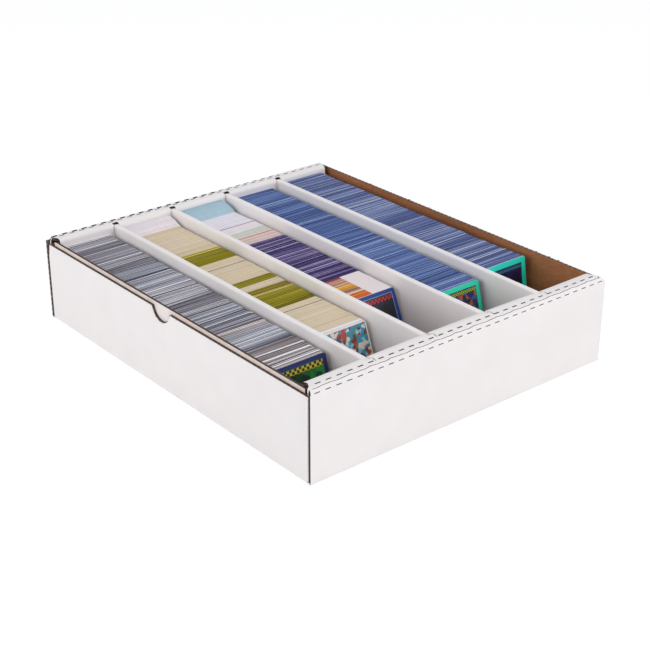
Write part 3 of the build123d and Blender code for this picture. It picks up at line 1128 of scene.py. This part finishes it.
def card_run(node, near_lean, seed, spare):
    """A run of leaning cards, with room for some printed ones at its near end. The first
    card leans as its packed block says and the last one as the row does."""
    low, high = corners(node)
    far_lean = lean_of(node)
    tops = high.x - CARD_HEIGHT * sin(near_lean) - low.x
    whole = max(1, round(tops / CARD_PITCH * cos(near_lean)))
    pitch = tops / whole
    count = whole - spare
    bm, per_card = upright_cards(count, pitch, pitch * cos(near_lean) * CARD_FILL)
    ink = bm.verts.layers.float_color.new("card_ink")
    middle_y = (low.y + high.y) / 2
    aside, near_aside = asides.get(node, (0.0, 0.0))
    cards = deal_cards(count, seed)
    colours = []
    for index, card in enumerate(cards):
        top = low.x + index * pitch
        band = next(band for band in bands[node] if top < band.until)
        colours.append([ink_at(band, tone) for tone in card.tones])
    for index, vert in enumerate(bm.verts):
        number = index // per_card
        card = cards[number]
        lean = far_lean + (near_lean - far_lean) * number / whole
        top = low.x + number * pitch
        depth, height = vert.co.x - number * pitch, vert.co.z + card.lift
        in_line = max(0.0, 1.0 - (count - 1 - number) / STRAIGHTENED)
        shift = card.shift + aside + (near_aside - aside) * in_line
        from_end = min(number, count - 1 - number)
        fan = FAN_SKEW * sin(2 * pi * top / FAN_LENGTH) * min(1.0, FAN_GROWTH * from_end)
        vert[ink] = colours[number][1 if vert.co.y > 0 else 0]
        vert.co = (
            top + CARD_HEIGHT * sin(lean) + depth * cos(lean) - height * sin(lean) + fan * vert.co.y,
            middle_y + shift + vert.co.y,
            low.z + depth * sin(lean) + height * cos(lean),
        )
    edges = cut_card_edges(f"{node}_edges", **run_prints.get(node, {}))
    finish_piece(f"{node}_pack", bm, [edges], node)


def printed_card(name, foot, y, floor, lean, papers, node, replaced):
    """A single card with its print in front and its plain cut edges."""
    bm = bmesh.new()
    add_card(bm, LOOSE_CARD, LOOSE_CORNER_STEPS)
    uv = bm.loops.layers.uv.new("card_face")
    for face in bm.faces:
        face.material_index = 0 if face.normal.x > 0.5 else 1
        for loop in face.loops:
            loop[uv].uv = (loop.vert.co.y / CARD_WIDTH + 0.5, loop.vert.co.z / CARD_HEIGHT)
    ink = bm.verts.layers.float_color.new("card_ink")
    for vert in bm.verts:
        vert[ink] = linear("#E8E6E6")
    stand = Matrix.Translation((foot, y, floor)) @ Matrix.Rotation(-lean, 4, "Y")
    bmesh.ops.transform(bm, matrix=stand, verts=bm.verts)
    finish_piece(name, bm, papers, node, replaced)


front_prints = [
    CardPrint(
        "front_card_1_print", ("#10246A", "#0C1C58"), 4.5, "#2E5A78", 0.6,
        ("#0C3010", "#D8BE28", 5.5, 6.0), ["#06701E", "#043E22", "#0A8A34", "#0C2412", "#086A26"], 8.0,
    ),
    CardPrint(
        "front_card_2_print", ("#F2EFE8", "#F2EFE8"), 1.2, "#CFCBC0", 0.3,
        None, ["#2894BE", "#7CC4DA", "#B4422A", "#E4D8CE", "#2E98B8", "#7A3A34", "#4C8C8A", "#E0D2C4"], 3.6,
    ),
    CardPrint(
        "front_card_3_print", ("#0A2F78", "#0A3A8C"), 4.0, "#6FA6D2", 0.7,
        ("#161418", "#CC2434", 6.0, 5.0), ["#0C0A10", "#16142A", "#22223A", "#07060A"], 9.0,
    ),
    CardPrint(
        "front_card_4_print", ("#20E6BE", "#12DEB0"), 5.0, "#0A5248", 0.7,
        ("#16300A", "#B9BE2E", 6.5, 3.4), ["#1A2254", "#2A5C9C", "#3C2A64", "#A8582E", "#141A3C"], 4.6,
    ),
    CardPrint(
        "front_card_5_print", ("#30F2E6", "#14E2BC"), 6.0, "#0B5A70", 0.9,
        ("#0C1A3C", "#4E8EA8", 8.0, 3.2), ["#0A1030", "#161848", "#2A1846", "#080A1C"], 9.0,
    ),
]
next_inks = ["#B9B6C0", "#F0EAE4", "#E6DEE0", "#7088B4", "#8090B4"]


def card_row(number):
    """One row: its runs, the printed card behind the loose one, and the loose card."""
    runs = [node for node in bands if node.startswith(f"row_{number}_")]
    lean = lean_of(runs[-1])
    for index, node in enumerate(runs):
        card_run(node, lean, seed=10 * number + index, spare=1 if node == runs[-1] else 0)
    edge = cut_card_edges(f"row_{number}_print_edges")
    design = front_prints[number - 1]
    plain = design._replace(name=f"row_{number}_next_print", border=(next_inks[number - 1],) * 2)
    low, high = corners(runs[-1])
    y = (low.y + high.y) / 2
    foot = high.x - LOOSE_CARD / cos(lean)
    papers = [printed_card_face(plain), edge]
    printed_card(f"row_{number}_next_card", foot, y, low.z, lean, papers, runs[-1], False)
    node = f"front_card_{number}"
    low, high = corners(node)
    foot = low.x + CARD_HEIGHT * sin(lean)
    papers = [printed_card_face(design), edge]
    printed_card(f"{node}_printed", foot, y, low.z, lean, papers, node, True)


# The tray

kraft = kraft_liner("unbleached_kraft_liner", ["#82502F", "#95603B", "#A57048"])
# painted light: the same kraft liner made paler, for the back wall's inside to look more brightly lit
kraft_painted_lighter = kraft_liner("unbleached_kraft_liner_painted_light", ["#965D37", "#AB6F45", "#BD8153"])
medium_paper = fluting_medium()
upright_flutes = [clay_coated_liner("clay_coated_liner_upright_flutes", "X"), kraft, medium_paper]
level_flutes = [clay_coated_liner("clay_coated_liner_level_flutes", "Z"), kraft, medium_paper]
end_wall_papers = [level_flutes[OUTSIDE], medium_paper, medium_paper]
back_wall_papers = [upright_flutes[OUTSIDE], kraft_painted_lighter, medium_paper]
floor_flutes = [clay_coated_liner("clay_coated_liner_floor", "X"), kraft, medium_paper]
divider_flutes = [clay_coated_liner("clay_coated_divider_board", "X"), kraft, medium_paper]

roof = corners("right_rolled_edge")[1].z
tab_x = sum(corner.x for corner in corners("right_inner_panel")) / 2
tab_size = Vector((BOARD / 2 + TAB_PLAY, TAB_LENGTH / 2 + TAB_PLAY, BOARD + 1))
tab_middles = [
    Vector((sign * tab_x, y, 0)) for side, sign in SIDES for y in (-TAB_SPACING / 2, TAB_SPACING / 2)
]
tab_gaps = [Gap(middle - tab_size, middle + tab_size) for middle in tab_middles]
board_panel("bottom_panel", Y, X, X, floor_flutes, gaps=tab_gaps)
board_panel("front_wall", X, Z, X, upright_flutes, folds=(-Z, -X, X), notched=True)
# the inner panel's outward face carries painted shade from the gap behind the front wall
board_panel("front_inner_panel", X, Z, X, [gap_shaded_liner(), kraft, medium_paper])


def between(middles, width):
    """Where the spaces around things of that width start and stop along a line."""
    edges = [middle + half for middle in middles for half in (-width / 2, width / 2)]
    return list(zip([-REST, *edges[1::2]], [*edges[::2], REST]))


plain_top = corners("back_wall")[1].z + BACK_RISE
nick_gaps = [
    Gap(Vector((start, -REST, plain_top)), Vector((stop, REST, REST)))
    for start, stop in between(NICKS, NICK_WIDTH)
]
rise = BACK_RISE + NICK_HEIGHT
board_panel("back_wall", -X, Z, X, back_wall_papers, gaps=nick_gaps, folds=(-Z, -X, X), rise=rise)
slot_gaps = [
    Gap(Vector((-REST, start, SEAT_HEIGHT)), Vector((REST, stop, roof)))
    for start, stop in divider_slots()
]
slot_gaps += [
    Gap(Vector((-REST, start, -1)), Vector((REST, stop, BOARD)))
    for start, stop in between((-TAB_SPACING / 2, TAB_SPACING / 2), TAB_LENGTH)
]
for side, sign in SIDES:
    board_panel(f"{side}_end_wall", Y * sign, Z, Z, end_wall_papers, folds=(-Z,))
    bulged = side == "right"
    board_panel(f"{side}_inner_panel", Y * -sign, Z, Z, level_flutes, gaps=slot_gaps, bulged=bulged)
    rolled_edge(side, level_flutes)
    for end, end_sign in (("front", -1), ("back", 1)):
        node = f"{end}_{side}_corner_flap"
        low, high = corners(node)
        free_y = high.y if end_sign < 0 else low.y
        slope = Vector((0, -end_sign, 1)).normalized()
        corner_point = Vector((0, free_y, high.z - FLAP_SLANT))
        board_panel(node, Y * sign, Z, Y, level_flutes, cut=(corner_point, slope))

for number in DIVIDERS:
    divider(number, divider_flutes)

for number in (1, 2, 3, 4, 5):
    card_row(number)


# The camera and the studio, in metres, and the light's strengths

CAMERA_PLACE = Vector((1.1184, -0.9095, 0.7139))
CAMERA_AIM = Vector((-0.01876, 0.02723, 0.0))
CAMERA_LENS = 80.23  # millimetres, on a sensor 36 mm wide
CAMERA_CLIP = 0.01
LAMP_AIM = Vector((0, 0, 0.05))
LAMP_TINT = (1.0, 0.985, 0.97)
LAMPS = (  # names, places, sizes and powers
    ("front_lamp", (-0.5, -2.2, 0.9), 1.6, 19.6),
    ("side_lamp", (2.3, 0.5, 0.9), 1.6, 21.6),
    ("overhead_lamp", (0.2, 0.1, 2.2), 2.0, 10.0),
)
WORLD_LIGHT = 0.465
WHITE = (1, 1, 1, 1)
FLOOR_SIZE = 4.0  # half its side
FLOOR_DROP = 0.2 * MM
FLOOR_GLOW = 1.16
FLOOR_GLOW_SHARE = 0.72


def look_at(thing, place, aim):
    """Puts a lamp or the camera in the scene, and turns it to what it looks at."""
    thing.location = place
    thing.rotation_euler = (aim - thing.location).to_track_quat("-Z", "Y").to_euler()
    bpy.context.scene.collection.objects.link(thing)


def add_camera():
    """A camera at the photograph's viewing angle."""
    data = bpy.data.cameras.new("camera")
    data.lens = CAMERA_LENS
    data.clip_start = CAMERA_CLIP
    camera = bpy.data.objects.new("camera", data)
    look_at(camera, CAMERA_PLACE, CAMERA_AIM)
    bpy.context.scene.camera = camera


def add_lamp(name, place, size, power):
    """A large soft lamp that looks at the middle of the tray."""
    data = bpy.data.lights.new(name, "AREA")
    data.shape = "DISK"
    data.size = size
    data.energy = power
    data.color = LAMP_TINT
    look_at(bpy.data.objects.new(name, data), place, LAMP_AIM)


def seen_directly(tree):
    """1 for a ray that shows the background itself or its reflection, and 0 for its light."""
    path = add_node(tree, "LightPath").outputs
    seen = path["Is Camera Ray"]
    for name in ("Is Glossy Ray", "Is Transmission Ray"):
        seen = add_node(tree, "Math", [seen, path[name]], operation="MAXIMUM")
    return seen


def add_world():
    """A white studio: it shows as plain white, and lights the tray evenly at a lower level."""
    world = bpy.data.worlds.new("white_studio")
    world.use_nodes = True
    tree = world.node_tree
    seen = seen_directly(tree)
    strength = add_node(tree, "MapRange", {"Value": seen, "To Min": WORLD_LIGHT, "To Max": 1.0})
    tint = add_node(tree, "Mix", [seen, linear("#F3F6FF"), WHITE], data_type="RGBA")
    set_inputs(tree.nodes["Background"], {"Strength": strength, "Color": tint})
    bpy.context.scene.world = world


def add_floor():
    """A white floor that shows the tray's soft shadow faintly."""
    material, tree, shader = new_material("matt_white_floor", roughness=0.9)
    set_inputs(shader, {"Base Color": linear("#F4F4F4")})
    glow = add_node(tree, "Emission", {"Color": WHITE, "Strength": FLOOR_GLOW})
    share = add_node(tree, "Math", [seen_directly(tree), FLOOR_GLOW_SHARE], operation="MULTIPLY")
    mix = add_node(tree, "MixShader", [share, shader, glow])
    set_inputs(tree.nodes["Material Output"], {"Surface": mix})
    bm = bmesh.new()
    bmesh.ops.create_grid(bm, x_segments=1, y_segments=1, size=FLOOR_SIZE)
    bmesh.ops.translate(bm, vec=(0, 0, -FLOOR_DROP), verts=bm.verts)
    add_object("studio_floor", bm, [material])


add_camera()
for lamp in LAMPS:
    add_lamp(*lamp)
add_world()
add_floor()
bpy.context.scene.view_settings.view_transform = "Standard"
